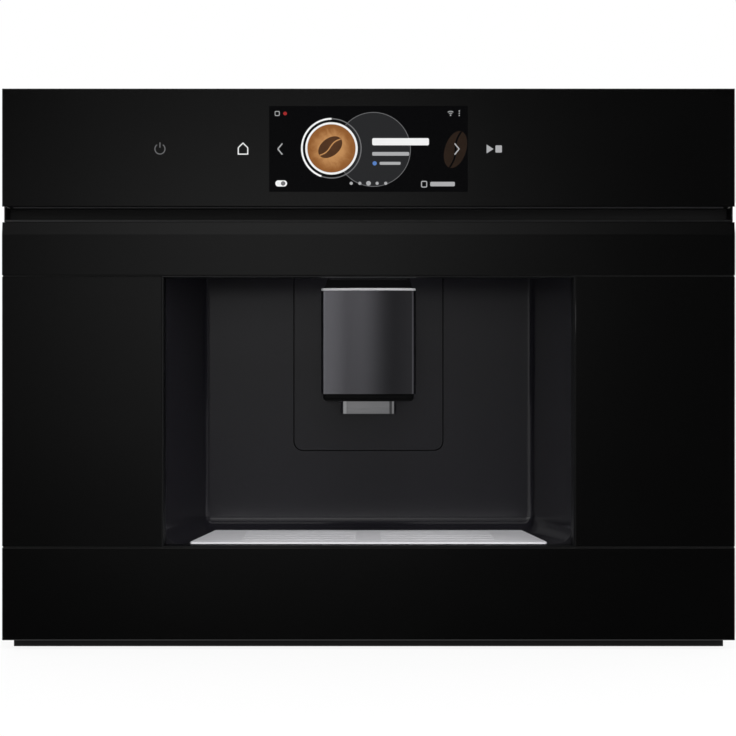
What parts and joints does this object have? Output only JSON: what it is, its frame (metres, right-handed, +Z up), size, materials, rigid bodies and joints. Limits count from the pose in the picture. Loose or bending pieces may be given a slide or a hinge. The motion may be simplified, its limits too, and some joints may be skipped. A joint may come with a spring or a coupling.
{
  "type": "built in coffee machine",
  "caption": "Compact black-glass bean-to-cup coffee machine for a tall cabinet, with cup niche, sliding outlet, hinged door, water tank, drip drawer and brewing unit.",
  "frame": {"origin": "middle of the footprint, on the surface that the machine stands on", "axes": "+X to the right as seen from the front, +Y to the rear, +Z up; the glass front faces -Y"},
  "size_m": [0.594, 0.385, 0.455],
  "materials": {
    "black_glass": "gloss, opaque black behind clear glass",
    "black_satin": "satin black moulding",
    "niche_grey": "fine satin, anthracite",
    "graphite_steel": "dark brushed, fine upright grain",
    "steel": "brushed",
    "chrome": "polished",
    "zinc_sheet": "galvanised sheet",
    "display": "lit colour screen",
    "board_green": "lacquered board",
    "clear_tank": "clear smoked plastic",
    "lamp_lens": "opal",
    "rubber": "matte",
    "hose": "translucent silicone",
    "boiler_metal": "cast",
    "burr_steel": "hardened",
    "magnet": "plated",
    "red_cap": "satin"
  },
  "bodies": {
    "housing": {"base_pan": "zinc_sheet", "bean_container": "clear_tank", "bean_lid": "black_satin", "bean_shelf": "black_satin", "boiler": "boiler_metal", "brew_chamber": "niche_grey", "brew_cover": "black_satin", "brew_drive": "magnet", "brew_frame": "black_satin", "catch_plates": "steel", "coffee_chute": "black_satin", "control_carrier": "black_satin", "control_glass": "black_glass", "display_module": "display", "door_hinges": "steel", "feet": "rubber", "front_frame": "black_satin", "grinder_hopper": "black_satin", "grinder_housing": "black_satin", "grinder_motor": "magnet", "guide_panel": "niche_grey", "guide_rods": "steel", "inner_shelf": "zinc_sheet", "left_side_panel": "zinc_sheet", "mains_inlet": "black_satin", "niche_lamp": "lamp_lens", "niche_liner": "niche_grey", "power_board": "board_green", "pressure_hose": "hose", "puck_chute": "black_satin", "pump": "magnet", "rear_panel": "zinc_sheet", "right_side_panel": "zinc_sheet", "ring_burr": "burr_steel", "suction_hose": "hose", "tank_dock": "black_satin", "top_cover": "zinc_sheet", "touch_board": "board_green"},
    "door": {"door_frame": "black_satin", "door_inner_panel": "black_satin", "door_glass_top": "black_glass", "door_glass_left": "black_glass", "door_glass_right": "black_glass", "door_glass_bottom": "black_glass", "window_trim": "graphite_steel", "door_magnets": "magnet"},
    "outlet": {"outlet_cover": "graphite_steel", "outlet_trim": "chrome", "outlet_body": "black_satin", "outlet_nozzle": "chrome", "outlet_carriage": "black_satin"},
    "tank": {"water_tank": "clear_tank", "tank_lid": "black_satin"},
    "drawer": {"drip_tray": "black_satin", "grounds_container": "black_satin"},
    "plate": {"drip_plate": "steel"},
    "dial": {"grind_dial": "niche_grey"},
    "burr": {"cone_burr": "burr_steel"},
    "piston": {"brew_piston": "red_cap"}
  },
  "joints": [
    {"name": "door_hinge", "type": "hinge", "parent": "housing", "child": "door", "pos_m": [-0.29, -0.1815, 0.1773], "axis": [0, 0, -1], "range_deg": [0, 110]},
    {"name": "outlet_height", "type": "slide", "parent": "housing", "child": "outlet", "axis": [0, 0, 1], "range_m": [-0.045, 0.032]},
    {"name": "tank_slide", "type": "slide", "parent": "housing", "child": "tank", "axis": [0, -1, 0], "range_m": [0, 0.16]},
    {"name": "drawer_slide", "type": "slide", "parent": "housing", "child": "drawer", "axis": [0, -1, 0], "range_m": [0, 0.15]},
    {"name": "plate_lift", "type": "slide", "parent": "drawer", "child": "plate", "axis": [0, 0, 1], "range_m": [0, 0.04]},
    {"name": "dial_turn", "type": "hinge", "parent": "housing", "child": "dial", "pos_m": [-0.2255, -0.17, 0.217], "axis": [0, -1, 0], "range_deg": [-120, 120]},
    {"name": "burr_spin", "type": "hinge", "parent": "housing", "child": "burr", "pos_m": [-0.2255, 0.0595, 0.2], "axis": [0, 0, 1], "continuous": true},
    {"name": "piston_slide", "type": "slide", "parent": "housing", "child": "piston", "axis": [0, 0, 1], "range_m": [-0.036, 0]}
  ],
  "couplings": [
    {"joint": "tank_slide", "follows": "door_hinge", "m_per_rad": 0.0833},
    {"joint": "drawer_slide", "follows": "door_hinge", "m_per_rad": 0.0781}
  ]
}
